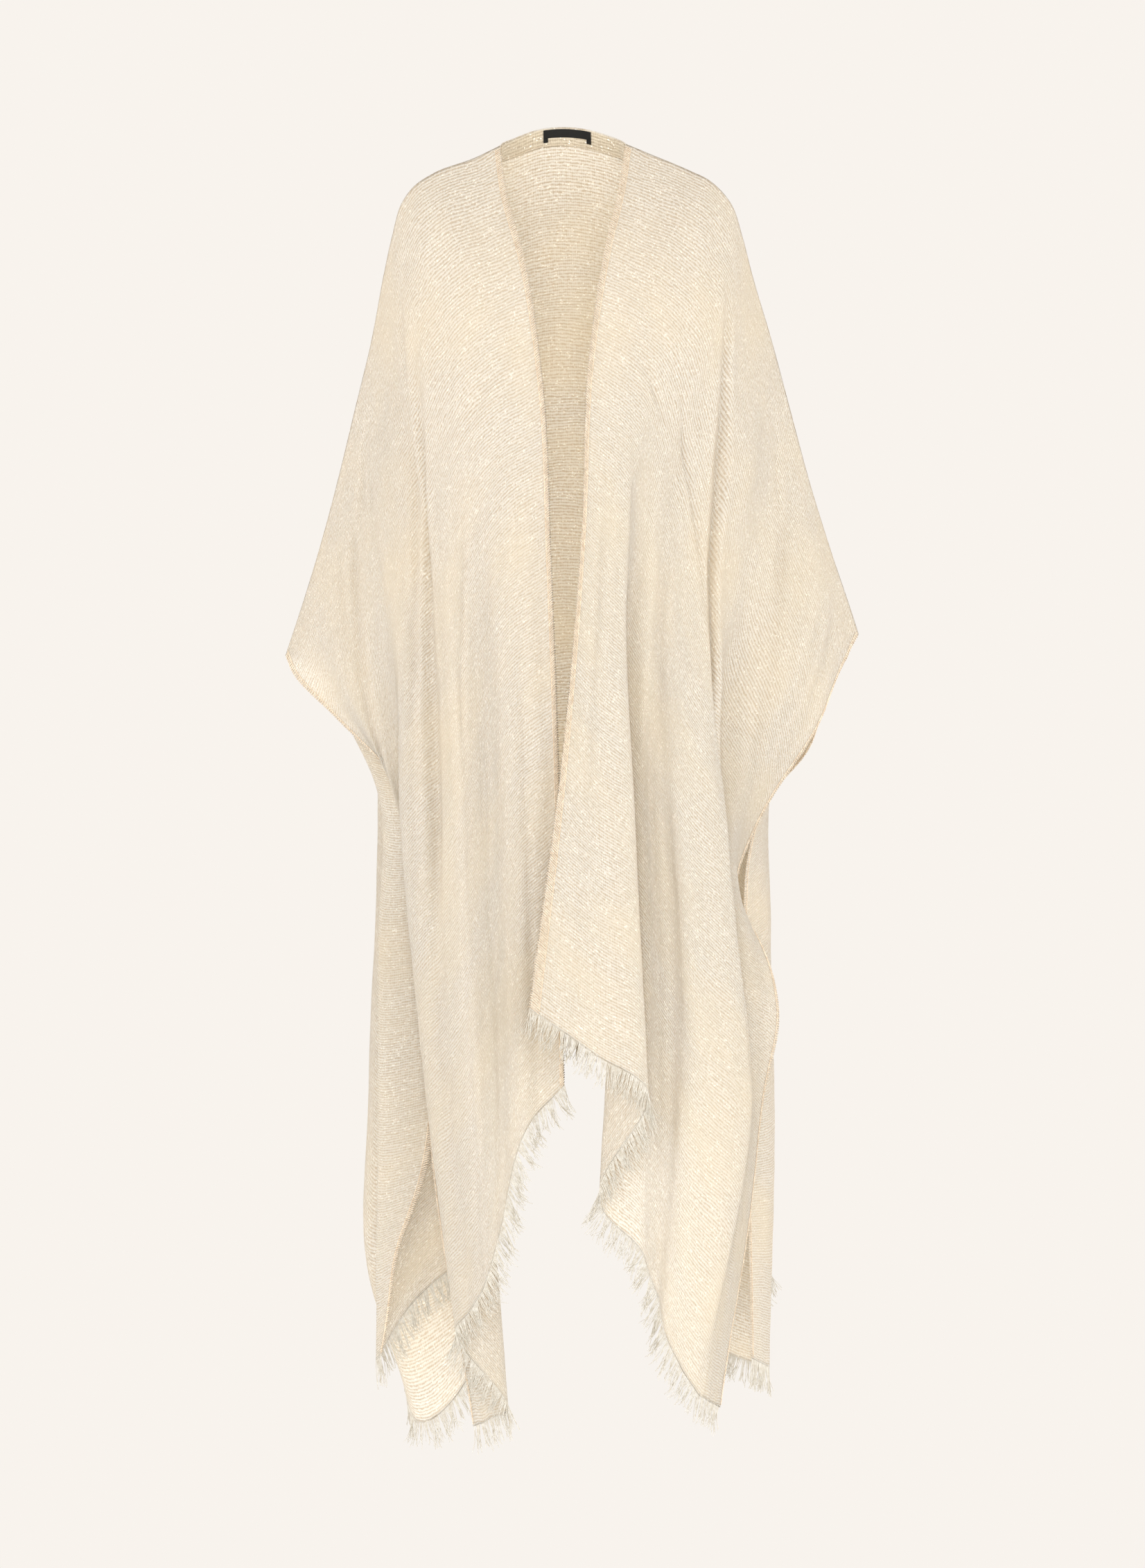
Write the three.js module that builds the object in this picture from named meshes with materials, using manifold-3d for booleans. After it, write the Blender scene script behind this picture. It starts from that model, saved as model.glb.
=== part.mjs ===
// Open-front kaftan in one woven cloth, worn pose with no wearer. Millimetres, +Z up, front faces -Y.
// The origin is the middle of the neck at the height of the shoulder line.
// Every panel is a thin wall lofted through rails: lines of cloth that run from the shoulder fold to the hem.
import * as THREE from "three";
import Module from "manifold-3d";

// Sizes of the cut
const CLOTH_LENGTH = 985;
const WALL = 1.5;
const SEAM_GAP = 0.3;
const NECK_HALF_WIDTH = 70;
const BAND_HEIGHT = 20;
const BAND_WALL = 1.2;
const BAND_GAP = 1.45;
const BAND_REACH = 64.17;
const BAND_CUTS = 22;
const BAND_TOP_FALL = 0.001;
const LABEL_WALL = 0.8;
const FRINGE_LENGTH = 30;
const FRINGE_STRIP = 4;
const FRINGE_GAP = 0.7;
const ALONG_STEP = 3;
const STRAND_RADIUS = 0.8;
const STRAND_TAPER = 0.4;
const STRAND_COUNTS = { left_front: 48, right_front: 42, back: 88 };

// How finely the panels are cut: stations between two rails, and stations down the cloth.
const CUTS_ACROSS = 3;
const CUTS_ACROSS_NECK = 6;
const FRONT_CUTS_DOWN = 25;
const BACK_CUTS_DOWN = 21;

// Blank label, in mm across the neck and falls down the back. It is an arch: its two ends reach lower.
const LABEL_ACROSS = [-16, -12.2, -8.4, -4.6, -0.8, 3, 6.8, 10.6, 14.4, 18.2, 22];
const LABEL_FALLS = [0.002, 0.006, 0.01];
const LABEL_LEG_FALLS = [0.006, 0.01, 0.0145];

// Shoulder fold, from the neck over the shoulder and down the arm to the sleeve tip.
// along: mm of cloth from the neck edge.
const SHOULDER_COLUMNS = ["along", "x", "y", "z"];
const LEFT_SHOULDER = [
  [0, 64, 5, -7],
  [26, 88, 4, -17],
  [75, 133, 2, -36],
  [100, 155, 0, -47],
  [134, 178, -2, -72],
  [171, 190, -5, -107],
  [211, 200, -7, -146],
  [289, 222, -10, -221],
  [367, 242, -14, -296],
  [445, 262, -18, -371],
  [523, 285, -24, -446],
  [602, 310, -32, -521],
  [630, 316, -35, -540],
];
const RIGHT_SHOULDER = [
  [0, -73, 5, -9],
  [30, -100, 4, -22],
  [78, -145, 1, -39],
  [105, -167, -1, -54],
  [124, -178, -2, -69],
  [165, -190, -5, -109],
  [203, -198, -7, -146],
  [279, -212, -10, -221],
  [356, -230, -13, -296],
  [433, -248, -17, -371],
  [511, -268, -23, -446],
  [589, -291, -30, -521],
  [630, -305, -35, -563],
];

// Back neck edge, from the wearer's right shoulder to the left.
const NECK_EDGE = [
  [-70, -73, 5, -9],
  [-58, -70, 22, -5],
  [-40, -60, 45, 0],
  [-20, -32, 62, 11],
  [0, -4, 67, 14],
  [20, 24, 62, 11],
  [40, 51, 45, 2],
  [58, 62, 22, -4],
  [70, 64, 5, -7],
];

// Rails: along is mm of cloth across the panel; x and y are given at five falls and at the hem.
// late above 1 makes the first part of the line run more level.
const FALLS = [0, 0.05, 0.12, 0.25, 0.45, 0.7, 1];
const RAIL_COLUMNS = [
  "name", "along", "late", "hemZ",
  "x05", "x12", "x25", "x45", "x70", "hemX",
  "y05", "y12", "y25", "y45", "y70", "hemY",
];
const LEFT_FRONT_RAILS = [
  ["slit_edge", 0, 1, -944, 57, 42, 24, 16, -4, -40, -38, -84, -119, -126, -142, -156],
  ["flap_middle", 45, 1, -993, 102, 86, 62, 44, 34, 30, -43, -92, -128, -132, -156, -168],
  ["flap_fold", 85, 1, -1038, 139, 120, 84, 64, 73, 88, -45, -92, -124, -126, -148, -156],
  ["under_fold", 125, 1, -1130, 168, 150, 98, 56, 52, 37, -40, -80, -112, -112, -122, -130],
  ["mass_valley", 195, 1, -1208, 189, 172, 116, 88, 92, 82, -38, -70, -100, -112, -118, -126],
  ["mass_ridge", 285, 1, -1300, 211, 198, 144, 124, 136, 108, -38, -62, -100, -132, -142, -138],
  ["mass_fold", 370, 1, -1358, 228, 208, 167, 178, 199, 140, -38, -60, -98, -112, -114, -122],
  ["under_mass", 430, 1, -1366, 246, 226, 160, 164, 184, 150, -42, -58, -78, -90, -98, -112],
  ["sleeve_front", 525, 1, -1371, 279, 258, 194, 178, 192, 158, -52, -70, -74, -80, -88, -104],
  ["side_edge", 630, 1, -1375, 287, 257, 206, 218, 203, 165, -52, -66, -62, -72, -78, -96],
];
const RIGHT_FRONT_RAILS = [
  ["slit_edge", 0, 1, -1027, -66, -47, -27, -17, -8, -3, -38, -86, -118, -120, -122, -120],
  ["chest", 70, 1, -1086, -133, -110, -82, -70, -60, -49, -45, -92, -127, -126, -130, -128],
  ["double_valley", 130, 1, -1188, -172, -152, -122, -98, -85, -73, -40, -78, -120, -124, -130, -130],
  ["ridge", 190, 1, -1240, -186, -172, -142, -120, -108, -88, -36, -66, -108, -134, -138, -128],
  ["valley", 260, 1, -1270, -198, -188, -162, -146, -132, -104, -34, -54, -86, -104, -112, -116],
  ["outer_fold", 340, 1, -1300, -216, -206, -186, -180, -156, -119, -36, -56, -84, -100, -106, -108],
  ["inner_fold", 420, 1, -1367, -236, -224, -190, -128, -92, -66, -40, -58, -74, -88, -96, -98],
  ["sleeve_front", 520, 1, -1388, -262, -248, -196, -140, -118, -84, -48, -66, -72, -79, -88, -90],
  ["side_edge", 630, 1.2, -1396, -294, -252, -166, -152, -146, -101, -50, -64, -63, -74, -82, -84],
];
const BACK_RAILS = [
  ["right_side_edge", -700, 1.14, -1320, -236, -197, -166, -142, -143, -201, -22, -18, -57, -58, -60, -54],
  ["front_fold", -640, 1, -1318, -278, -256, -207, -204, -205, -202, 4, 10, -22, -46, -50, -46],
  ["inner_face", -600, 1, -1262, -268, -252, -204, -166, -165, -165, 10, 20, 2, -32, -38, -38],
  ["hidden_fold", -550, 1, -1222, -256, -242, -196, -130, -112, -106, 14, 26, 18, -16, -22, -20],
  ["deep_fold", -480, 1, -1330, -239, -232, -194, -136, -108, -100, 20, 34, 40, 16, 10, 12],
  ["outer_swing", -400, 1, -1395, -220, -219, -206, -196, -205, -160, 24, 42, 58, 56, 48, 34],
  ["right_pleat", -300, 1, -1190, -200, -203, -200, -192, -196, -190, 32, 50, 76, 84, 92, 96],
  ["right_blade", -215, 1, -1100, -186, -184, -177, -166, -160, -160, 35, 60, 88, 92, 84, 82],
  ["right_wave", -150, 1, -1030, -148, -144, -136, -126, -122, -120, 44, 80, 102, 96, 106, 112],
  ["right_neck", -70, 1, -985, -79, -80, -80, -74, -70, -66, 50, 88, 108, 100, 92, 94],
  ["centre", 0, 1, -975, -3, -2, 0, 2, 6, 8, 82, 96, 106, 98, 106, 112],
  ["left_neck", 70, 1, -985, 70, 73, 75, 72, 72, 74, 50, 88, 108, 100, 94, 96],
  ["left_wave", 150, 1, -1035, 141, 138, 132, 124, 124, 130, 45, 82, 104, 98, 108, 114],
  ["left_blade", 215, 1, -1095, 183, 182, 176, 164, 160, 166, 36, 62, 90, 94, 88, 88],
  ["left_pleat", 300, 1, -1185, 203, 207, 206, 198, 200, 208, 34, 52, 80, 98, 104, 106],
  ["left_turn", 380, 1, -1245, 221, 221, 212, 206, 214, 214, 26, 46, 72, 78, 82, 84],
  ["left_deep_fold", 450, 1, -1290, 239, 233, 204, 158, 140, 142, 22, 42, 62, 60, 58, 60],
  ["left_inner", 520, 1, -1320, 258, 247, 212, 184, 168, 172, 18, 38, 50, 38, 34, 34],
  ["left_swing", 590, 1, -1335, 281, 264, 226, 218, 221, 218, 12, 28, 30, 16, 10, 8],
  ["left_front_turn", 645, 1, -1332, 296, 276, 222, 218, 221, 214, 2, 12, 4, -14, -18, -18],
  ["left_side_edge", 700, 1, -1324, 294, 270, 208, 190, 194, 200, -24, -16, -54, -50, -50, -48],
];

// Pulls: local swings of the cloth. across and fall are where it is strongest; wide and tall are its reach.
const PULL_COLUMNS = ["name", "across", "wide", "fall", "tall", "dx", "dy", "dz"];
const LEFT_FRONT_PULLS = [
  ["edge_dips_in", 630, 60, 0.335, 0.06, -20, 4, 0],
  ["edge_swings_out", 630, 60, 0.5, 0.07, 12, 0, 0],
  ["elbow", 480, 90, 0.03, 0.06, 0, -6, 0],
];
const RIGHT_FRONT_PULLS = [
  ["elbow", 470, 90, 0.03, 0.06, 0, -6, 0],
];
const BACK_PULLS = [
  ["outer_swing_low", -400, 60, 0.86, 0.1, -28, 0, 0],
  ["edge_low", -700, 40, 0.87, 0.07, -10, 0, 0],
  ["cuff_swell", 700, 50, 0.165, 0.04, 10, 0, 0],
];

// Creases: soft troughs (depth above 0) or ridges (below 0) along the cloth.
const CREASE_COLUMNS = ["name", "topAcross", "lowAcross", "topFall", "lowFall", "depth", "wide"];
const LEFT_FRONT_CREASES = [
  ["bust_to_hip", 150, 230, 0.08, 0.5, 6, 22],
  ["flap_soft", 40, 20, 0.35, 1, 4, 14],
  ["mass_soft", 250, 240, 0.45, 1, 5, 22],
];
const RIGHT_FRONT_CREASES = [
  ["chest_drop", 100, 100, 0.3, 1, 5, 16],
  ["arm_valley", 225, 245, 0.02, 0.6, 7, 20],
  ["inner_soft", 40, 30, 0.5, 1, 3, 14],
];
const BACK_CREASES = [
  ["right_back_soft", -110, -100, 0.15, 1, 6, 24],
  ["left_back_soft", 110, 105, 0.15, 1, 6, 24],
  ["right_arm", -300, -250, 0.05, 0.6, 5, 24],
  ["left_arm", 300, 250, 0.05, 0.6, 5, 24],
];

function readTable(columns, rows) {
  return rows.map((row) => Object.fromEntries(columns.map((name, index) => [name, row[index]])));
}

function mix(a, b, share) {
  return a + (b - a) * share;
}

// Smooth curve through values given at rising keys, uneven steps allowed.
function curveWeights(keys, at) {
  const last = keys.length - 1;
  let low = 0;
  while (low < last - 1 && at > keys[low + 1]) low += 1;
  const step = keys[low + 1] - keys[low];
  const s = Math.min(Math.max((at - keys[low]) / step, 0), 1);
  return { low, step, s };
}

function slopeAt(keys, values, index) {
  const last = keys.length - 1;
  if (index === 0) return (values[1] - values[0]) / (keys[1] - keys[0]);
  if (index === last) return (values[last] - values[last - 1]) / (keys[last] - keys[last - 1]);
  const before = keys[index] - keys[index - 1];
  const after = keys[index + 1] - keys[index];
  const slopeBefore = (values[index] - values[index - 1]) / before;
  const slopeAfter = (values[index + 1] - values[index]) / after;
  return (slopeBefore * after + slopeAfter * before) / (before + after);
}

function curveAt(keys, values, at) {
  const { low, step, s } = curveWeights(keys, at);
  const s2 = s * s;
  const s3 = s2 * s;
  const startSlope = slopeAt(keys, values, low) * step;
  const endSlope = slopeAt(keys, values, low + 1) * step;
  return (
    values[low] * (2 * s3 - 3 * s2 + 1) +
    startSlope * (s3 - 2 * s2 + s) +
    values[low + 1] * (-2 * s3 + 3 * s2) +
    endSlope * (s3 - s2)
  );
}

function lineThrough(rows) {
  const keys = rows.map((row) => row[0]);
  const columns = [1, 2, 3].map((column) => rows.map((row) => row[column]));
  return (along) => new THREE.Vector3(...columns.map((values) => curveAt(keys, values, along)));
}

const leftShoulder = lineThrough(LEFT_SHOULDER);
const rightShoulder = lineThrough(RIGHT_SHOULDER);
const neckEdge = lineThrough(NECK_EDGE);

function backTop(across) {
  if (across > NECK_HALF_WIDTH) return leftShoulder(across - NECK_HALF_WIDTH);
  if (across < -NECK_HALF_WIDTH) return rightShoulder(-across - NECK_HALF_WIDTH);
  return neckEdge(across);
}

// One panel of cloth as a function of across (mm) and fall (0 at the shoulder, 1 at the hem).
function makePanel({ rails, pulls, creases, top, outward, seamShift }) {
  const rows = readTable(RAIL_COLUMNS, rails);
  const keys = rows.map((row) => row.along);
  const tops = rows.map((row) => top(row.along));
  const pullRows = readTable(PULL_COLUMNS, pulls);
  const creaseRows = readTable(CREASE_COLUMNS, creases);

  function railPoint(row, start, fall) {
    const xs = [start.x, row.x05, row.x12, row.x25, row.x45, row.x70, row.hemX];
    const ys = [start.y, row.y05, row.y12, row.y25, row.y45, row.y70, row.hemY];
    return [
      curveAt(FALLS, xs, fall),
      curveAt(FALLS, ys, fall),
      start.z + (row.hemZ - start.z) * Math.pow(fall, row.late),
    ];
  }

  function cross(across, fall) {
    const points = rows.map((row, index) => railPoint(row, tops[index], fall));
    return new THREE.Vector3(...[0, 1, 2].map((axis) => curveAt(keys, points.map((p) => p[axis]), across)));
  }

  function smoothPoint(across, fall) {
    const point = cross(across, fall);
    const drift = top(across).sub(cross(across, 0));
    point.addScaledVector(drift, Math.pow(1 - fall, 4));
    for (const pull of pullRows) {
      const sideways = (across - pull.across) / pull.wide;
      const down = (fall - pull.fall) / pull.tall;
      const strength = Math.exp(-sideways * sideways - down * down) * Math.min(fall / 0.03, 1);
      point.x += pull.dx * strength;
      point.y += pull.dy * strength;
      point.z += pull.dz * strength;
    }
    return point;
  }

  function normalAt(pointAt, across, fall) {
    const least = keys[0];
    const most = keys[keys.length - 1];
    const a0 = Math.max(across - 1, least);
    const a1 = Math.min(across + 1, most);
    const f0 = Math.max(fall - 0.001, 0);
    const f1 = Math.min(fall + 0.001, 1);
    const sideways = pointAt(a1, fall).sub(pointAt(a0, fall));
    const down = pointAt(across, f1).sub(pointAt(across, f0));
    const normal = new THREE.Vector3().crossVectors(sideways, down).normalize();
    return normal.multiplyScalar(outward);
  }

  function creaseDepth(across, fall) {
    let depth = 0;
    for (const crease of creaseRows) {
      const share = (fall - crease.topFall) / (crease.lowFall - crease.topFall);
      if (share < 0 || share > 1) continue;
      const middle = mix(crease.topAcross, crease.lowAcross, share);
      const sideways = (across - middle) / crease.wide;
      const fadeIn = Math.min(share / 0.25, 1);
      const fadeOut = crease.lowFall >= 1 ? 1 : Math.min((1 - share) / 0.25, 1);
      const fade = fadeIn * fadeIn * (3 - 2 * fadeIn) * fadeOut * fadeOut * (3 - 2 * fadeOut);
      depth += crease.depth * Math.exp(-sideways * sideways) * fade;
    }
    return depth;
  }

  function pointAt(across, fall) {
    const point = smoothPoint(across, fall);
    const depth = creaseDepth(across, fall);
    if (depth !== 0) point.addScaledVector(normalAt(smoothPoint, across, fall), -depth);
    return point;
  }

  return { keys, top, outward, seamShift, pointAt, normalAt };
}

const panels = {
  left_front: makePanel({
    rails: LEFT_FRONT_RAILS,
    pulls: LEFT_FRONT_PULLS,
    creases: LEFT_FRONT_CREASES,
    top: leftShoulder,
    outward: -1,
    seamShift: -SEAM_GAP / 2,
  }),
  right_front: makePanel({
    rails: RIGHT_FRONT_RAILS,
    pulls: RIGHT_FRONT_PULLS,
    creases: RIGHT_FRONT_CREASES,
    top: rightShoulder,
    outward: 1,
    seamShift: -SEAM_GAP / 2,
  }),
  back: makePanel({
    rails: BACK_RAILS,
    pulls: BACK_PULLS,
    creases: BACK_CREASES,
    top: backTop,
    outward: 1,
    seamShift: SEAM_GAP / 2,
  }),
};

// Stations across a panel: a few cuts between each pair of rails, and more behind the neck.
function stationsAcross(keys) {
  const stations = [];
  for (let index = 0; index + 1 < keys.length; index += 1) {
    const behindNeck = keys[0] < 0 && Math.abs(keys[index] + keys[index + 1]) <= NECK_HALF_WIDTH;
    const cuts = behindNeck ? CUTS_ACROSS_NECK : CUTS_ACROSS;
    for (let cut = 0; cut < cuts; cut += 1) {
      stations.push(mix(keys[index], keys[index + 1], cut / cuts));
    }
  }
  stations.push(keys[keys.length - 1]);
  return stations;
}

// Falls down a panel, closer together near the shoulder fold.
function stationsDown(count) {
  const stations = [];
  for (let index = 0; index <= count; index += 1) {
    const share = index / count;
    stations.push(0.35 * share * share + 0.65 * share);
  }
  return stations;
}

// Closed thin wall round a grid of middle points and normals.
function wallFromGrid(points, normals, wall) {
  const rows = points.length;
  const columns = points[0].length;
  const positions = [];
  for (const side of [0.5, -0.5]) {
    for (let i = 0; i < rows; i += 1) {
      for (let j = 0; j < columns; j += 1) {
        const p = points[i][j].clone().addScaledVector(normals[i][j], side * wall);
        positions.push(p.x, p.y, p.z);
      }
    }
  }
  const outer = (i, j) => i * columns + j;
  const inner = (i, j) => rows * columns + i * columns + j;
  const faces = [];
  const quad = (a, b, c, d) => faces.push(a, b, c, a, c, d);
  for (let i = 0; i + 1 < rows; i += 1) {
    for (let j = 0; j + 1 < columns; j += 1) {
      quad(outer(i, j), outer(i + 1, j), outer(i + 1, j + 1), outer(i, j + 1));
      quad(inner(i, j), inner(i, j + 1), inner(i + 1, j + 1), inner(i + 1, j));
    }
  }
  for (let i = 0; i + 1 < rows; i += 1) {
    quad(outer(i, 0), inner(i, 0), inner(i + 1, 0), outer(i + 1, 0));
    const end = columns - 1;
    quad(outer(i, end), outer(i + 1, end), inner(i + 1, end), inner(i, end));
  }
  for (let j = 0; j + 1 < columns; j += 1) {
    quad(outer(0, j), outer(0, j + 1), inner(0, j + 1), inner(0, j));
    const end = rows - 1;
    quad(outer(end, j), inner(end, j), inner(end, j + 1), outer(end, j + 1));
  }
  const geometry = new THREE.BufferGeometry();
  geometry.setAttribute("position", new THREE.Float32BufferAttribute(positions, 3));
  geometry.setIndex(faces);
  faceOut(geometry);
  geometry.computeVertexNormals();
  return geometry;
}

// Turns every face round where the mesh encloses a negative volume.
function faceOut(geometry) {
  if (signedVolume(geometry) >= 0) return;
  const faces = Array.from(geometry.index.array);
  for (let k = 0; k < faces.length; k += 3) {
    const kept = faces[k + 1];
    faces[k + 1] = faces[k + 2];
    faces[k + 2] = kept;
  }
  geometry.setIndex(faces);
}

function signedVolume(geometry) {
  const position = geometry.getAttribute("position");
  const index = geometry.index.array;
  const a = new THREE.Vector3();
  const b = new THREE.Vector3();
  const c = new THREE.Vector3();
  let volume = 0;
  for (let k = 0; k < index.length; k += 3) {
    a.fromBufferAttribute(position, index[k]);
    b.fromBufferAttribute(position, index[k + 1]);
    c.fromBufferAttribute(position, index[k + 2]);
    volume += a.dot(b.cross(c)) / 6;
  }
  return volume;
}

// The wall of a whole panel. At the shoulder fold the rim stands square to the depth, so both rims face.
function panelWall(panel, downCount) {
  const across = stationsAcross(panel.keys);
  const falls = stationsDown(downCount);
  const points = [];
  const normals = [];
  for (const station of across) {
    const pointColumn = [];
    const normalColumn = [];
    for (const fall of falls) {
      const point = panel.pointAt(station, fall);
      const normal = panel.normalAt(panel.pointAt, station, fall);
      if (fall === 0) {
        point.y += panel.seamShift;
        normal.y = 0;
        normal.normalize();
      }
      pointColumn.push(point);
      normalColumn.push(normal);
    }
    points.push(pointColumn);
    normals.push(normalColumn);
  }
  return wallFromGrid(points, normals, WALL);
}

// A patch that lies on a panel: the panel's own points moved out by a lift.
function patchOn(panel, acrossStations, fallStations, lift, wall) {
  const points = [];
  const normals = [];
  for (const across of acrossStations) {
    const pointColumn = [];
    const normalColumn = [];
    for (const fall of fallStations) {
      const normal = panel.normalAt(panel.pointAt, across, fall);
      pointColumn.push(panel.pointAt(across, fall).addScaledVector(normal, lift));
      normalColumn.push(normal);
    }
    points.push(pointColumn);
    normals.push(normalColumn);
  }
  return wallFromGrid(points, normals, wall);
}

function evenSteps(from, to, count) {
  return Array.from({ length: count + 1 }, (unused, index) => mix(from, to, index / count));
}

const manifold = await Module();
manifold.setup();

function solidFromGeometry(geometry) {
  return new manifold.Manifold(
    new manifold.Mesh({
      numProp: 3,
      vertProperties: new Float32Array(geometry.getAttribute("position").array),
      triVerts: new Uint32Array(geometry.index.array),
    }),
  );
}

function geometryFromSolid(solid) {
  const mesh = solid.getMesh();
  const geometry = new THREE.BufferGeometry();
  geometry.setAttribute("position", new THREE.Float32BufferAttribute(mesh.vertProperties, 3));
  geometry.setIndex(Array.from(mesh.triVerts));
  geometry.computeVertexNormals();
  return geometry;
}

// One three-sided fringe strand that tapers from root to tip.
function strand(root, direction, length) {
  const sideways = new THREE.Vector3(0, 1, 0).cross(direction).normalize();
  const depth = new THREE.Vector3().crossVectors(direction, sideways).normalize();
  const positions = [];
  for (const share of [0, 1]) {
    const middle = root.clone().addScaledVector(direction, length * share);
    for (let corner = 0; corner < 3; corner += 1) {
      const angle = (corner * 2 * Math.PI) / 3;
      const r = STRAND_RADIUS * (1 - STRAND_TAPER * share);
      const p = middle
        .clone()
        .addScaledVector(sideways, r * Math.cos(angle))
        .addScaledVector(depth, r * Math.sin(angle));
      positions.push(p.x, p.y, p.z);
    }
  }
  const faces = [0, 2, 1, 3, 4, 5];
  for (let corner = 0; corner < 3; corner += 1) {
    const next = (corner + 1) % 3;
    faces.push(corner, next, next + 3, corner, next + 3, corner + 3);
  }
  const geometry = new THREE.BufferGeometry();
  geometry.setAttribute("position", new THREE.Float32BufferAttribute(positions, 3));
  geometry.setIndex(faces);
  faceOut(geometry);
  return geometry;
}

// Fringe: a narrow strip parted from the hem and square to it, with strands rooted in it.
function fringeOn(panel, count) {
  const across = stationsAcross(panel.keys);
  const least = panel.keys[0];
  const most = panel.keys[panel.keys.length - 1];
  const hem = (station) => panel.pointAt(station, 1);
  const downAt = (station) => hem(station).sub(panel.pointAt(station, 0.985)).normalize();
  const awayAt = (station) => {
    const along = hem(Math.min(station + ALONG_STEP, most)).sub(hem(Math.max(station - ALONG_STEP, least)));
    const away = along.cross(panel.normalAt(panel.pointAt, station, 1)).normalize();
    return away.dot(downAt(station)) < 0 ? away.negate() : away;
  };
  const points = [];
  const normals = [];
  for (const station of across) {
    const away = awayAt(station);
    const normal = panel.normalAt(panel.pointAt, station, 1);
    const start = hem(station);
    points.push([
      start.clone().addScaledVector(away, FRINGE_GAP),
      start.clone().addScaledVector(away, FRINGE_GAP + FRINGE_STRIP),
    ]);
    normals.push([normal, normal.clone()]);
  }
  const strip = solidFromGeometry(wallFromGrid(points, normals, WALL));
  const fine = evenSteps(least, most, 600);
  const lengths = [0];
  for (let k = 1; k < fine.length; k += 1) {
    lengths.push(lengths[k - 1] + hem(fine[k]).distanceTo(hem(fine[k - 1])));
  }
  const total = lengths[lengths.length - 1];
  const solids = [strip];
  for (let k = 0; k < count; k += 1) {
    const wanted = (total * (k + 0.5)) / count;
    const station = fine[lengths.findIndex((length) => length >= wanted)];
    const next = Math.max(across.findIndex((at) => at > station), 1);
    const share = (station - across[next - 1]) / (across[next] - across[next - 1]);
    const root = points[next - 1][1].clone().lerp(points[next][1], share);
    root.lerp(points[next - 1][0].clone().lerp(points[next][0], share), 0.3);
    const swing = Math.sin(k * 2.4) * 0.1 + Math.sin(k * 0.7) * 0.08;
    const direction = awayAt(station).multiplyScalar(0.7).addScaledVector(downAt(station), 0.3);
    direction.x += swing;
    direction.y *= 0.4;
    direction.z -= 0.35;
    direction.normalize();
    const length = (FRINGE_LENGTH - FRINGE_STRIP) * (0.88 + 0.18 * Math.sin(k * 1.9));
    solids.push(solidFromGeometry(strand(root, direction, length)));
  }
  return geometryFromSolid(manifold.Manifold.union(solids).simplify(0.02));
}

const materials = {
  cloth: { color: 0xeadfcb, roughness: 0.92 },
  band: { color: 0xd8c9a8, roughness: 0.9 },
  label: { color: 0x16150f, roughness: 0.75 },
  fringe: { color: 0xe9e7dc, roughness: 0.95 },
};

function addMesh(group, name, geometry, kind) {
  const material = new THREE.MeshStandardMaterial({ ...materials[kind], metalness: 0 });
  material.name = kind;
  const mesh = new THREE.Mesh(geometry, material);
  mesh.name = name;
  group.add(mesh);
}

const kaftan = new THREE.Group();
kaftan.name = "kaftan";
addMesh(kaftan, "left_front", panelWall(panels.left_front, FRONT_CUTS_DOWN), "cloth");
addMesh(kaftan, "right_front", panelWall(panels.right_front, FRONT_CUTS_DOWN), "cloth");
addMesh(kaftan, "back", panelWall(panels.back, BACK_CUTS_DOWN), "cloth");

// Back neck band on the inner face of the back, and the blank label on the band.
const bandLift = -(WALL / 2 + BAND_GAP + BAND_WALL / 2);
const bandAcross = evenSteps(-BAND_REACH, BAND_REACH, BAND_CUTS);
const bandFalls = evenSteps(BAND_TOP_FALL, BAND_HEIGHT / CLOTH_LENGTH, 2);
addMesh(kaftan, "neck_band", patchOn(panels.back, bandAcross, bandFalls, bandLift, BAND_WALL), "band");

const labelLift = bandLift - BAND_WALL / 2 - SEAM_GAP - LABEL_WALL / 2;
const labelParts = [
  [LABEL_ACROSS, LABEL_FALLS],
  [LABEL_ACROSS.slice(0, 2), LABEL_LEG_FALLS],
  [LABEL_ACROSS.slice(-2), LABEL_LEG_FALLS],
].map(([across, falls]) => solidFromGeometry(patchOn(panels.back, across, falls, labelLift, LABEL_WALL)));
addMesh(kaftan, "label", geometryFromSolid(manifold.Manifold.union(labelParts)), "label");

for (const [name, count] of Object.entries(STRAND_COUNTS)) {
  addMesh(kaftan, `${name}_fringe`, fringeOn(panels[name], count), "fringe");
}

export default kaftan;
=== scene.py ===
# Open-front kaftan: fine cloth shells, overlocked edges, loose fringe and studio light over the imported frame.
import math
import bpy
import numpy as np
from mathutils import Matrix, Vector


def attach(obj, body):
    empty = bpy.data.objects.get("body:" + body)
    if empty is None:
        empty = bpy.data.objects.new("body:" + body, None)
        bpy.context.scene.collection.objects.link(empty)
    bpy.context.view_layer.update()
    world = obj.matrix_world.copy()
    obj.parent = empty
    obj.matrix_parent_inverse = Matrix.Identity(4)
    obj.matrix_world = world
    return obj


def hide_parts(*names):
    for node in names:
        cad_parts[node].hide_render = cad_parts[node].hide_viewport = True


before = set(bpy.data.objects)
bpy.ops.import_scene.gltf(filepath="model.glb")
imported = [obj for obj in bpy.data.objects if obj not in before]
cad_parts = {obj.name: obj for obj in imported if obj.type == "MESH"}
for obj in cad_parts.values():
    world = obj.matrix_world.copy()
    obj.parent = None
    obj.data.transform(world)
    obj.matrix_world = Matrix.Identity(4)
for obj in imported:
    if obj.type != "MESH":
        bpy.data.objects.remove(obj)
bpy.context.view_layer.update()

# Sizes of the cut, in millimetres; the meshes are in metres.
MM = 0.001
CLOTH_LENGTH = 985.0
CLOTH_WALL = 0.7
NECK_HALF_WIDTH = 70.0
BAND_HEIGHT = 20.0
FRINGE_LENGTH = 31.0
OVERLOCK_WIDTH = 6.0
OVERLOCK_PITCH = 2.6
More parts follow.
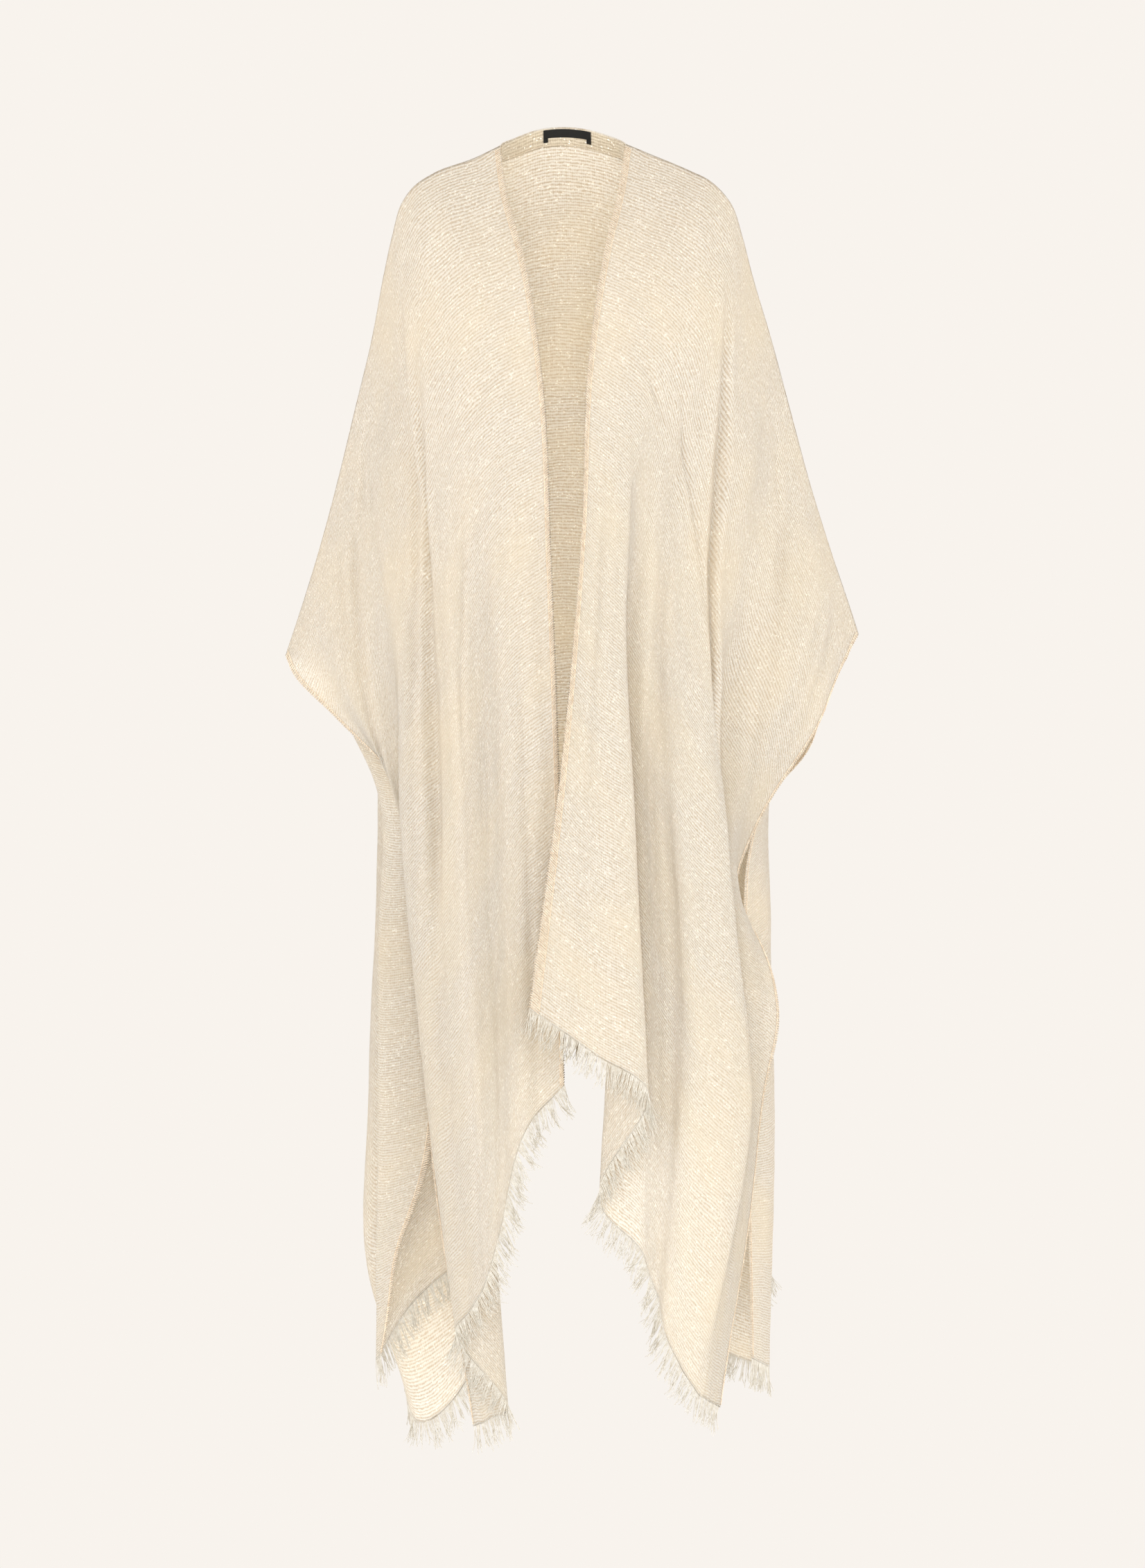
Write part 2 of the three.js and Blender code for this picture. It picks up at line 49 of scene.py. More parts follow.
LOCK_WIDTH = 6.0

# Shoulder fold: mm of cloth from the neck edge, then x, y, z. Most x and z of the two shoulders are points
# that a program traced along the photo's outline.
LEFT_SHOULDER = [
    (0, 64, 5, -7), (26, 88, 4, -17), (75, 133, 2, -36), (100, 155, 0, -47), (134, 178, -2, -72),
    (171, 190, -5, -107), (211, 200, -7, -146), (289, 222, -10, -221), (367, 242, -14, -296),
    (445, 262, -18, -371), (523, 285, -24, -446), (602, 310, -32, -521), (630, 316, -35, -540),
]
RIGHT_SHOULDER = [
    (0, -73, 5, -9), (30, -100, 4, -22), (78, -145, 1, -39), (105, -167, -1, -54), (124, -178, -2, -69),
    (165, -190, -5, -109), (203, -198, -7, -146), (279, -212, -10, -221), (356, -230, -13, -296),
    (433, -248, -17, -371), (511, -268, -23, -446), (589, -291, -30, -521), (630, -305, -35, -563),
]
NECK_EDGE = [
    (-70, -73, 5, -9), (-58, -70, 22, -5), (-40, -60, 45, 0), (-20, -32, 62, 11), (0, -4, 67, 14),
    (20, 24, 62, 11), (40, 51, 45, 2), (58, 62, 22, -4), (70, 64, 5, -7),
]

# Rails: name, across, power of the fall that gives the drop, hem z, then six x and six y. Those stand at
# these falls after the first, where a rail starts on the shoulder fold.
FALLS = (0, 0.05, 0.12, 0.25, 0.45, 0.7, 1)
LEFT_FRONT_RAILS = [
    ("slit_edge", 0, 1, -944, 57, 42, 24, 16, -4, -40, -38, -84, -119, -126, -142, -156),
    ("flap_middle", 45, 1, -993, 102, 86, 62, 44, 34, 30, -43, -92, -128, -132, -156, -168),
    ("flap_fold", 85, 1, -1038, 139, 120, 84, 64, 73, 88, -45, -92, -124, -126, -148, -156),
    ("under_fold", 125, 1, -1130, 168, 150, 98, 56, 52, 37, -40, -80, -112, -112, -122, -130),
    ("mass_valley", 195, 1, -1208, 189, 172, 116, 88, 92, 82, -38, -70, -100, -112, -118, -126),
    ("mass_ridge", 285, 1, -1300, 211, 198, 144, 124, 136, 108, -38, -62, -100, -132, -142, -138),
    ("mass_fold", 370, 1, -1358, 228, 208, 167, 178, 199, 140, -38, -60, -98, -112, -114, -122),
    ("under_mass", 430, 1, -1366, 246, 226, 160, 164, 184, 150, -42, -58, -78, -90, -98, -112),
    ("sleeve_front", 525, 1, -1371, 279, 258, 194, 178, 192, 158, -52, -70, -74, -80, -88, -104),
    ("side_edge", 630, 1, -1375, 287, 257, 206, 218, 203, 165, -52, -66, -62, -72, -78, -96),
]
RIGHT_FRONT_RAILS = [
    ("slit_edge", 0, 1, -1027, -66, -47, -27, -17, -8, -3, -38, -86, -118, -120, -122, -120),
    ("chest", 70, 1, -1086, -133, -110, -82, -70, -60, -49, -45, -92, -127, -126, -130, -128),
    ("double_valley", 130, 1, -1188, -172, -152, -122, -98, -85, -73, -40, -78, -120, -124, -130, -130),
    ("ridge", 190, 1, -1240, -186, -172, -142, -120, -108, -88, -36, -66, -108, -134, -138, -128),
    ("valley", 260, 1, -1270, -198, -188, -162, -146, -132, -104, -34, -54, -86, -104, -112, -116),
    ("outer_fold", 340, 1, -1300, -216, -206, -186, -180, -156, -119, -36, -56, -84, -100, -106, -108),
    ("inner_fold", 420, 1, -1367, -236, -224, -190, -128, -92, -66, -40, -58, -74, -88, -96, -98),
    ("sleeve_front", 520, 1, -1388, -262, -248, -196, -140, -118, -84, -48, -66, -72, -79, -88, -90),
    ("side_edge", 630, 1.2, -1396, -294, -252, -166, -152, -146, -101, -50, -64, -63, -74, -82, -84),
]
BACK_RAILS = [
    ("right_side_edge", -700, 1.14, -1320, -236, -197, -166, -142, -143, -201, -22, -18, -57, -58, -60, -54),
    ("front_fold", -640, 1, -1318, -278, -256, -207, -204, -205, -202, 4, 10, -22, -46, -50, -46),
    ("inner_face", -600, 1, -1262, -268, -252, -204, -166, -165, -165, 10, 20, 2, -32, -38, -38),
    ("hidden_fold", -550, 1, -1222, -256, -242, -196, -130, -112, -106, 14, 26, 18, -16, -22, -20),
    ("deep_fold", -480, 1, -1330, -239, -232, -194, -136, -108, -100, 20, 34, 40, 16, 10, 12),
    ("outer_swing", -400, 1, -1395, -220, -219, -206, -196, -205, -160, 24, 42, 58, 56, 48, 34),
    ("right_pleat", -300, 1, -1190, -200, -203, -200, -192, -196, -190, 32, 50, 76, 84, 92, 96),
    ("right_blade", -215, 1, -1100, -186, -184, -177, -166, -160, -160, 35, 60, 88, 92, 84, 82),
    ("right_wave", -150, 1, -1030, -148, -144, -136, -126, -122, -120, 44, 80, 102, 96, 106, 112),
    ("right_neck", -70, 1, -985, -79, -80, -80, -74, -70, -66, 50, 88, 108, 100, 92, 94),
    ("centre", 0, 1, -975, -3, -2, 0, 2, 6, 8, 82, 96, 106, 98, 106, 112),
    ("left_neck", 70, 1, -985, 70, 73, 75, 72, 72, 74, 50, 88, 108, 100, 94, 96),
    ("left_wave", 150, 1, -1035, 141, 138, 132, 124, 124, 130, 45, 82, 104, 98, 108, 114),
    ("left_blade", 215, 1, -1095, 183, 182, 176, 164, 160, 166, 36, 62, 90, 94, 88, 88),
    ("left_pleat", 300, 1, -1185, 203, 207, 206, 198, 200, 208, 34, 52, 80, 98, 104, 106),
    ("left_turn", 380, 1, -1245, 221, 221, 212, 206, 214, 214, 26, 46, 72, 78, 82, 84),
    ("left_deep_fold", 450, 1, -1290, 239, 233, 204, 158, 140, 142, 22, 42, 62, 60, 58, 60),
    ("left_inner", 520, 1, -1320, 258, 247, 212, 184, 168, 172, 18, 38, 50, 38, 34, 34),
    ("left_swing", 590, 1, -1335, 281, 264, 226, 218, 221, 218, 12, 28, 30, 16, 10, 8),
    ("left_front_turn", 645, 1, -1332, 296, 276, 222, 218, 221, 214, 2, 12, 4, -14, -18, -18),
    ("left_side_edge", 700, 1, -1324, 294, 270, 208, 190, 194, 200, -24, -16, -54, -50, -50, -48),
]

# Pulls on the cloth round one spot: name, across, width, fall, height in falls, then the move in x, y, z.
LEFT_FRONT_PULLS = [
    ("edge_dips_in", 630, 60, 0.335, 0.06, -20, 4, 0),
    ("edge_swings_out", 630, 60, 0.5, 0.07, 12, 0, 0),
    ("elbow", 480, 90, 0.03, 0.06, 0, -6, 0),
    ("cuff_covers_back", 630, 60, 0.12, 0.09, 14, -3, 0),
]
RIGHT_FRONT_PULLS = [
    ("elbow", 470, 90, 0.03, 0.06, 0, -6, 0),
    ("edge_swings_back", 630, 45, 0.315, 0.045, -20, -3, 0),
]
BACK_PULLS = [
    ("outer_swing_low", -400, 60, 0.86, 0.1, -28, 0, 0),
    ("edge_low", -700, 40, 0.87, 0.07, -10, 0, 0),
    ("cuff_swell", 700, 50, 0.165, 0.04, 10, 0, 0),
]

# Creases: name, across at the top and low end, falls of both ends, depth (ridge below 0), width.
LEFT_FRONT_CREASES = [
    ("bust_to_hip", 150, 230, 0.08, 0.5, 6, 22),
    ("flap_soft", 40, 20, 0.35, 1, 4, 14),
    ("mass_soft", 250, 240, 0.45, 1, 5, 22),
]
RIGHT_FRONT_CREASES = [
    ("chest_drop", 100, 100, 0.3, 1, 5, 16),
    ("arm_valley", 225, 245, 0.02, 0.6, 7, 20),
    ("inner_soft", 40, 30, 0.5, 1, 3, 14),
]
BACK_CREASES = [
    ("right_back_soft", -110, -100, 0.15, 1, 6, 24),
    ("left_back_soft", 110, 105, 0.15, 1, 6, 24),
    ("right_arm", -300, -250, 0.05, 0.6, 5, 24),
    ("left_arm", 300, 250, 0.05, 0.6, 5, 24),
]

# Finer creases that only the shells carry.
LEFT_FRONT_FINE = [
    ("slit_ripple", 14, 10, 0.45, 1, 1.6, 7),
    ("flap_line", 62, 58, 0.3, 0.95, 1.8, 8),
    ("bust_under", 60, 100, 0.22, 0.4, 2.2, 12),
    ("mass_line", 215, 222, 0.5, 0.96, 1.0, 9),
    ("mass_line_two", 310, 305, 0.35, 0.9, 1.4, 11),
    ("mass_full", 190, 195, 0.2, 1, -8, 38),
    ("mass_edge_line", 345, 350, 0.3, 0.85, 1.8, 8),
    ("arm_line", 400, 470, 0.02, 0.22, 2.0, 14),
    ("arm_line_two", 520, 540, 0.02, 0.2, 1.8, 14),
    ("shoulder_line", 110, 150, 0.02, 0.2, 1.6, 12),
]
RIGHT_FRONT_FINE = [
    ("slit_ripple", 16, 12, 0.4, 1, 1.4, 7),
    ("double_crease_a", 121, 124, 0.38, 0.66, 1.5, 4.5),
    ("double_crease_b", 132, 134, 0.4, 0.64, 1.2, 4.5),
    ("chest_line", 70, 64, 0.15, 0.5, 1.8, 10),
    ("ridge_line", 176, 172, 0.3, 0.8, 1.0, 11),
    ("valley_line", 262, 268, 0.1, 0.9, 1.8, 10),
    ("valley_line_two", 290, 296, 0.2, 0.6, 1.6, 10),
    ("arm_line", 330, 380, 0.02, 0.25, 2.0, 14),
    ("arm_line_two", 460, 480, 0.02, 0.2, 1.8, 14),
]
BACK_FINE = [
    ("spine_line", 6, 14, 0.2, 1, 1.8, 10),
    ("right_line", -58, -50, 0.25, 1, 2.2, 11),
    ("right_line_two", -170, -176, 0.2, 0.9, 2.4, 10),
    ("right_line_three", -250, -246, 0.25, 1, 2.2, 10),
    ("left_line", 52, 46, 0.3, 1, 2.0, 10),
    ("left_line_two", 176, 180, 0.2, 1, 2.4, 10),
    ("left_line_three", 255, 262, 0.25, 0.95, 2.2, 10),
    ("right_sleeve_line", -420, -400, 0.03, 0.3, 2.2, 14),
    ("left_sleeve_line", 420, 400, 0.03, 0.3, 2.2, 14),
    ("right_sleeve_low", -560, -540, 0.03, 0.25, 1.8, 12),
    ("left_sleeve_low", 560, 540, 0.03, 0.25, 1.8, 12),
]

# Long folds that bend: name, depth of the trough, width, height of the lip beside it, then fall and across.
# A lip above 0 stands on the low side of across, one below 0 on the high side. A program worked out most
# points of sleeve_line and mass_line of the left front, and of arm_valley, line_a, line_b and armpit of the
# right front, from x and z read off the photo.
LEFT_FRONT_TRACKS = [
    ("sleeve_line", 11, 12, -4,
     [(0.03, 116), (0.188, 256), (0.27, 342), (0.37, 374), (0.48, 378), (0.6, 374), (0.72, 368)]),
    ("mass_line", 3, 14, -1.5, [(0.15, 140), (0.205, 158), (0.23, 250), (0.27, 330)]),
    ("flap_inner", 1.6, 5, 1, [(0.3, 30), (0.6, 34), (0.97, 28)]),
    ("sleeve_soft", 3, 16, 0, [(0.02, 330), (0.1, 420), (0.2, 500), (0.28, 560)]),
    ("cuff_soft", 3, 12, 2, [(0.02, 560), (0.12, 575), (0.24, 590)]),
    ("armpit", 3.5, 20, 0, [(0.02, 150), (0.09, 110), (0.18, 95)]),
    ("under_bust", 3.0, 16, -1, [(0.19, 30), (0.22, 70), (0.24, 120)]),
    ("mass_hip", 0.9, 9, 0.5, [(0.45, 250), (0.7, 240), (0.95, 262)]),
    ("mass_low", 0.9, 9, 0.5, [(0.55, 325), (0.8, 318), (0.98, 326)]),
]
RIGHT_FRONT_TRACKS = [
    ("arm_valley", 9, 12, 3.5,
     [(0.1, 160), (0.177, 190), (0.27, 243), (0.415, 258), (0.512, 262), (0.62, 262)]),
    ("line_a", 1.8, 9, 1, [(0.25, 126), (0.328, 134), (0.42, 165), (0.52, 184)]),
    ("line_b", 2.6, 9, 1.2, [(0.42, 118), (0.478, 122), (0.662, 124), (0.855, 118), (0.993, 127)]),
    ("armpit", 4.5, 20, 0, [(0.02, 150), (0.115, 116), (0.2, 103)]),
    ("under_bust", 3.0, 16, -1, [(0.19, 20), (0.22, 60), (0.25, 110)]),
    ("arm_edge", 3.5, 10, 2, [(0.03, 165), (0.15, 215), (0.27, 275), (0.4, 292)]),
    ("sleeve_soft", 3, 16, 0, [(0.02, 330), (0.1, 400), (0.2, 470), (0.28, 520)]),
    ("sleeve_inner", 4, 15, 2, [(0.05, 400), (0.15, 455), (0.24, 520), (0.33, 560)]),
    ("slit_side", 1.4, 6, 1, [(0.3, 40), (0.6, 46), (0.98, 42)]),
    ("low_line", 1.2, 9, 0.5, [(0.6, 196), (0.8, 190), (0.98, 196)]),
    ("pocket_shadow", 5, 12, 3, [(0.2, 540), (0.28, 560), (0.37, 590)]),
]
BACK_TRACKS = [
    ("right_fall", 8, 13, 3, [(0.06, -120), (0.3, -135), (0.7, -128), (0.97, -140)]),
    ("left_fall", 8, 13, 3, [(0.06, 125), (0.3, 138), (0.7, 130), (0.97, 138)]),
    ("right_arm_fold", 9, 13, 4, [(0.03, -200), (0.15, -270), (0.35, -330), (0.6, -350)]),
    ("left_arm_fold", 9, 13, 4, [(0.03, 200), (0.15, 275), (0.35, 335), (0.6, 352)]),
    ("right_sleeve_fold", 4, 14, 2, [(0.03, -330), (0.12, -430), (0.25, -500)]),
    ("left_sleeve_fold", 4, 14, 2, [(0.03, 330), (0.12, 430), (0.25, 505)]),
    ("middle_low", 5, 11, 1.5, [(0.5, -20), (0.75, -28), (0.98, -22)]),
    ("right_low", 6, 10, 2, [(0.45, -235), (0.7, -228), (0.98, -240)]),
    ("left_low", 6, 10, 2, [(0.45, 236), (0.7, 232), (0.98, 240)]),
]

# Power by which a panel lets go of the exact line of the shoulder fold as it falls.
DRIFT_POWER = 4

# How shapes fade in and out, in falls, or in shares of the length of a crease or track.
PULL_FADE = 0.03
CREASE_FADE = 0.25
TRACK_FADE = 0.22
OPEN_END_FALL = 0.96
CRINKLE_START = 0.02
CRINKLE_FADE = 0.05

# Where the lip of a track stands and how wide it is, in widths of the trough.
LIP_PLACE = 1.9
LIP_WIDTH = 1.2

# Crinkle of the light cloth: its depth in mm, and the lengths of its waves in metres.
CRINKLE_DEPTH = 0.8
LONG_WAVE = 0.047
SHORT_WAVE = 0.021
CROSS_WAVE = 0.06

# Keeps a division by a length of zero finite.
TINY = 1e-12


def curve_at(keys, values, at):
    """Smooth curve through values (first axis) given at rising, uneven keys."""
    keys = np.asarray(keys, float)
    values = np.asarray(values, float)
    at = np.asarray(at, float)
    low = np.clip(np.searchsorted(keys, at, side="right") - 1, 0, len(keys) - 2)
    tail = (1,) * (values.ndim - 1)
    steps = np.diff(keys).reshape(-1, *tail)
    slopes = np.diff(values, axis=0) / steps
    tangents = np.empty_like(values)
    tangents[0] = slopes[0]
    tangents[-1] = slopes[-1]
    tangents[1:-1] = (slopes[:-1] * steps[1:] + slopes[1:] * steps[:-1]) / (steps[:-1] + steps[1:])
    step = (keys[low + 1] - keys[low]).reshape(-1, *tail)
    s = np.clip((at - keys[low]).reshape(-1, *tail) / step, 0, 1)
    s2 = s * s
    s3 = s2 * s
    start = values[low] * (2 * s3 - 3 * s2 + 1) + tangents[low] * step * (s3 - 2 * s2 + s)
    return start + values[low + 1] * (-2 * s3 + 3 * s2) + tangents[low + 1] * step * (s3 - s2)


def line_through(rows):
    table = np.array(rows, float)
    return lambda along: curve_at(table[:, 0], table[:, 1:], along)


left_shoulder = line_through(LEFT_SHOULDER)
right_shoulder = line_through(RIGHT_SHOULDER)
neck_edge = line_through(NECK_EDGE)


def back_top(across):
    across = np.asarray(across, float)
    top = neck_edge(np.clip(across, -NECK_HALF_WIDTH, NECK_HALF_WIDTH))
    beyond_left = across > NECK_HALF_WIDTH
    beyond_right = across < -NECK_HALF_WIDTH
    top[beyond_left] = left_shoulder(across[beyond_left] - NECK_HALF_WIDTH)
    top[beyond_right] = right_shoulder(-across[beyond_right] - NECK_HALF_WIDTH)
    return top


def smooth_step(share):
    share = np.clip(share, 0, 1)
    return share * share * (3 - 2 * share)


def unit(vectors):
    """The same vectors with a length of one, along the last axis."""
    return vectors / (np.linalg.norm(vectors, axis=-1, keepdims=True) + TINY)


class Panel:
    """One panel of cloth: a grid of points as a function of across (mm) and fall (0 to 1)."""

    def __init__(self, rails, pulls, creases, fine, tracks, top, outward):
        self.keys = np.array([row[1] for row in rails], float)
        self.late = np.array([row[2] for row in rails], float)
        self.hem_z = np.array([row[3] for row in rails], float)
        self.table_x = np.array([row[4:10] for row in rails], float)
        self.table_y = np.array([row[10:16] for row in rails], float)
        self.tops = top(self.keys)
        self.pulls = pulls
        self.creases = creases
        self.fine = fine
        self.tracks = tracks
        self.top = top
        self.outward = outward

    def cross(self, across, falls):
        xs = np.concatenate([self.tops[:, :1], self.table_x], axis=1).T
        ys = np.concatenate([self.tops[:, 1:2], self.table_y], axis=1).T
        x = curve_at(FALLS, xs, falls).T
        y = curve_at(FALLS, ys, falls).T
        share = np.power(falls[None, :], self.late[:, None])
        z = self.tops[:, 2:3] + (self.hem_z[:, None] - self.tops[:, 2:3]) * share
        return curve_at(self.keys, np.stack([x, y, z], axis=2), across)

    def smooth(self, across, falls):
        points = self.cross(across, falls)
        drift = self.top(across) - self.cross(across, np.array([0.0]))[:, 0]
        points += drift[:, None, :] * ((1 - falls) ** DRIFT_POWER)[None, :, None]
        for _, at, wide, fall, tall, dx, dy, dz in self.pulls:
            sideways = (across[:, None] - at) / wide
            down = (falls[None, :] - fall) / tall
            strength = np.exp(-sideways ** 2 - down ** 2) * np.minimum(falls / PULL_FADE, 1)[None, :]
            points += strength[:, :, None] * np.array([dx, dy, dz], float)
        return points

    def crease_depth(self, across, falls, rows):
        depth = np.zeros((len(across), len(falls)))
        for _, top_across, low_across, top_fall, low_fall, deep, wide in rows:
            share = (falls - top_fall) / (low_fall - top_fall)
            middle = top_across + (low_across - top_across) * share
            fade = smooth_step(share / CREASE_FADE)
            if low_fall < 1:
                fade = fade * smooth_step((1 - share) / CREASE_FADE)
            inside = (share >= 0) & (share <= 1)
            sideways = (across[:, None] - middle[None, :]) / wide
            depth += deep * np.exp(-sideways ** 2) * (fade * inside)[None, :]
        return depth

    def track_depth(self, across, falls):
        depth = np.zeros((len(across), len(falls)))
        for _, deep, wide, lip, track in self.tracks:
            track_falls, track_across = np.array(track, float).T
            middle = curve_at(track_falls, track_across, falls)
            span = (track_falls[-1] - track_falls[0]) * TRACK_FADE
            fade = smooth_step((falls - track_falls[0]) / span)
            # a track that reaches the hem runs out through it
            if track_falls[-1] < OPEN_END_FALL:
                fade = fade * smooth_step((track_falls[-1] - falls) / span)
            sideways = (across[:, None] - middle[None, :]) / wide
            beside = sideways + (LIP_PLACE if lip > 0 else -LIP_PLACE)
            shape = deep * np.exp(-sideways ** 2) - abs(lip) * np.exp(-(beside / LIP_WIDTH) ** 2)
            depth += shape * fade[None, :]
        return depth

    def normals(self, points, across, falls):
        sideways = np.gradient(points, across, axis=0)
        down = np.gradient(points, falls, axis=1)
        return unit(np.cross(sideways, down)) * self.outward

    def grid(self, across, falls, fine=True):
        """Middle points and normals. Without fine, the finer folds and the crinkle are left out."""
        points = self.smooth(across, falls)
        rows = self.creases + (self.fine if fine else [])
        depth = self.crease_depth(across, falls, rows)
        if fine:
            fade = smooth_step((falls - CRINKLE_START) / CRINKLE_FADE)
            depth = depth + self.track_depth(across, falls)
            depth = depth + CRINKLE_DEPTH * crinkle_waves(across, falls) * fade[None, :]
        points = points - depth[:, :, None] * self.normals(points, across, falls)
        normals = self.normals(points, across, falls)
        if falls[0] == 0:
            # both rims stand square to the depth at the shoulder fold, so front and back meet flush
            normals[:, 0, 1] = 0
            normals[:, 0] = unit(normals[:, 0])
        return points, normals


def uneven(phase):
    """A strength between 0 and 1 that comes and goes."""
    return 0.5 + 0.5 * np.sin(phase)


def crinkle_waves(across, falls):
    """Uneven long ripples of a light cloth, from a few sines that drift into each other."""
    a = across[:, None] / 1000
    v = falls[None, :] * CLOTH_LENGTH / 1000
    drift = 0.35 * np.sin(5.1 * v + 2.2 * np.sin(3.1 * a)) + 0.22 * np.sin(11.3 * v + 4 * a)
    long_waves = np.sin(2 * np.pi * (a / LONG_WAVE + drift)) * uneven(9 * a + 4 * v)
    short_waves = np.sin(2 * np.pi * (a / SHORT_WAVE + 1.3 * drift + 0.5 * v)) * uneven(23 * a - 7 * v)
    cross_waves = np.sin(2 * np.pi * (v / CROSS_WAVE + 0.6 * np.sin(14 * a))) * uneven(17 * a + 5 * v)
    return 0.55 * long_waves + 0.25 * short_waves + 0.2 * cross_waves


panels = {
    "left_front": Panel(LEFT_FRONT_RAILS, LEFT_FRONT_PULLS, LEFT_FRONT_CREASES,
                        LEFT_FRONT_FINE, LEFT_FRONT_TRACKS, left_shoulder, -1),
    "right_front": Panel(RIGHT_FRONT_RAILS, RIGHT_FRONT_PULLS, RIGHT_FRONT_CREASES,
                         RIGHT_FRONT_FINE, RIGHT_FRONT_TRACKS, right_shoulder, 1),
    "back": Panel(BACK_RAILS, BACK_PULLS, BACK_CREASES, BACK_FINE, BACK_TRACKS, back_top, 1),
}


def new_object(name, mesh, material):
    obj = bpy.data.objects.new(name, mesh)
    bpy.context.scene.collection.objects.link(obj)
    mesh.materials.append(material)
    return obj


def mesh_from_arrays(name, points, faces, uvs=None):
    mesh = bpy.data.meshes.new(name)
    mesh.vertices.add(len(points))
    mesh.vertices.foreach_set("co", np.asarray(points, float).ravel())
    faces = np.asarray(faces, int)
    count, corners = faces.shape
    mesh.loops.add(count * corners)
    mesh.loops.foreach_set("vertex_index", faces.ravel())
    mesh.polygons.add(count)
    mesh.polygons.foreach_set("loop_start", np.arange(0, count * corners, corners))
    mesh.polygons.foreach_set("loop_total", np.full(count, corners))
    mesh.polygons.foreach_set("use_smooth", np.ones(count, bool))
    if uvs is not None:
        layer = mesh.uv_layers.new(name="UVMap")
        layer.data.foreach_set("uv", np.asarray(uvs, float)[faces.ravel()].ravel())
    mesh.update(calc_edges=True)
    mesh.validate()
    return mesh


def shell(name, points, normals, across, falls, wall, material):
    """Closed thin shell round a grid of middle points, with UVs in metres of cloth."""
    rows, columns = points.shape[:2]
    outer = (points + normals * wall / 2).reshape(-1, 3) * MM
    inner = (points - normals * wall / 2).reshape(-1, 3) * MM
    flat = np.meshgrid(across * MM, falls * CLOTH_LENGTH * MM, indexing="ij")
    uvs = np.stack(flat, axis=2).reshape(-1, 2)
    shift = rows * columns
    index = np.arange(shift).reshape(rows, columns)
    a, b, c, d = index[:-1, :-1], index[1:, :-1], index[1:, 1:], index[:-1, 1:]
    front = np.stack([a, b, c, d], axis=2).reshape(-1, 4)
    back = front[:, ::-1] + shift
    rim = []
    edges = ((index[0, :], False), (index[-1, :], True), (index[:, 0], True), (index[:, -1], False))
    for line, flip in edges:
        one, two = line[:-1], line[1:]
        quad = np.stack([one, two, two + shift, one + shift], axis=1)
        rim.append(quad[:, ::-1] if flip else quad)
    faces = np.concatenate([front, back] + rim)
    # all faces turn round where the outer side would look inward
    facing = np.cross(outer[b] - outer[a], outer[d] - outer[a])
    if (facing * (outer - inner)[a]).sum() < 0:
        faces = faces[:, ::-1]
    mesh = mesh_from_arrays(name, np.concatenate([outer, inner]), faces, np.concatenate([uvs, uvs]))
    return new_object(name, mesh, material)


# A direction that no yarn runs along, so that it can turn the rings of a tube.
TUBE_REFERENCE = np.array([0.31, 0.9, 0.29])


def tubes(paths, radii, sides):
    """One joined set of tapering tubes. paths is (count, steps, 3), radii (steps,) in mm."""
    count, steps = paths.shape[:2]
    tangent = unit(np.gradient(paths, axis=1))
    side = unit(np.cross(tangent, TUBE_REFERENCE))
    other = np.cross(tangent, side)
    angles = np.arange(sides) * 2 * np.pi / sides
    ring = side[:, :, None, :] * np.cos(angles)[:, None] + other[:, :, None, :] * np.sin(angles)[:, None]
    points = paths[:, :, None, :] + ring * radii[None, :, None, None]
    index = np.arange(count * steps * sides).reshape(count, steps, sides)
    low, high = index[:, :-1], index[:, 1:]
    next_low, next_high = np.roll(low, -1, axis=2), np.roll(high, -1, axis=2)
    faces = np.stack([low, next_low, next_high, high], axis=3).reshape(-1, 4)
    return points.reshape(-1, 3) * MM, faces


def running_length(line):
    return np.concatenate([[0], np.cumsum(np.linalg.norm(np.diff(line, axis=0), axis=1))])


def sample(values, length, at):
    """Points of a line, or vectors along it, at these running lengths."""
    return np.stack([np.interp(at, length, values[:, axis]) for axis in range(3)], axis=1)


# Fringe. Spacing, root, radii, lift, curl and waves are in mm. The stray is a share of the spacing, lengths
# and lean are shares of the yarn's length, and the turn and phases of its wave are in radians. A pair is
# the least and the most, or the root and the tip.
HEM_SAMPLES = 1400
HEM_FALLS = (0.97, 0.985, 1.0)
YARN_SPACING = 1.0
YARN_STRAY = 0.3
YARN_ROOT = 2.0
YARN_STEPS = 7
YARN_RADII = (0.5, 0.3)
YARN_LENGTHS = (0.72, 1.02)
YARN_LEAN = 0.1
YARN_LIFT = 1.6
YARN_CURL = 3.2
YARN_WAVES = (0.4, 1.5)
WAVE_TURN = 6
WAVE_PHASES = 6.28

# Locks: how far their borders wander along the hem and over what length, in mm, then their turn, their
# lengths and how far they gather, as shares. The lean of a yarn grows to its tip by this share and power.
LOCK_WANDER = 1.2
LOCK_WANDER_LENGTH = 5.0
LOCK_TURN = 0.2
LOCK_LENGTHS = (0.86, 1.12)
LOCK_GATHER = 0.62
LEAN_SHARE = 0.6
LEAN_POWER = 1.3

# Direction of the fringe: shares of the way out of the hem and of the way down the cloth, a pull down, and
# how much of its depth is kept.
OUT_SHARE = 0.62
DROP_SHARE = 0.38
WEIGHT = np.array([0, 0, -0.28])
DEPTH_SHARE = 0.5


def hem_line(panel):
    """The hem: its points, their normals, the ways down the cloth and out of the hem, and its length."""
    across = np.linspace(panel.keys[0], panel.keys[-1], HEM_SAMPLES)
    points, normals = panel.grid(across, np.array(HEM_FALLS))
    hem = points[:, -1]
    normal = normals[:, -1]
    down = unit(hem - points[:, 1])
    away = unit(np.cross(np.gradient(hem, axis=0), normal))
    away *= np.sign(np.einsum("ij,ij->i", away, down))[:, None]
    return hem, normal, down, away, running_length(hem)


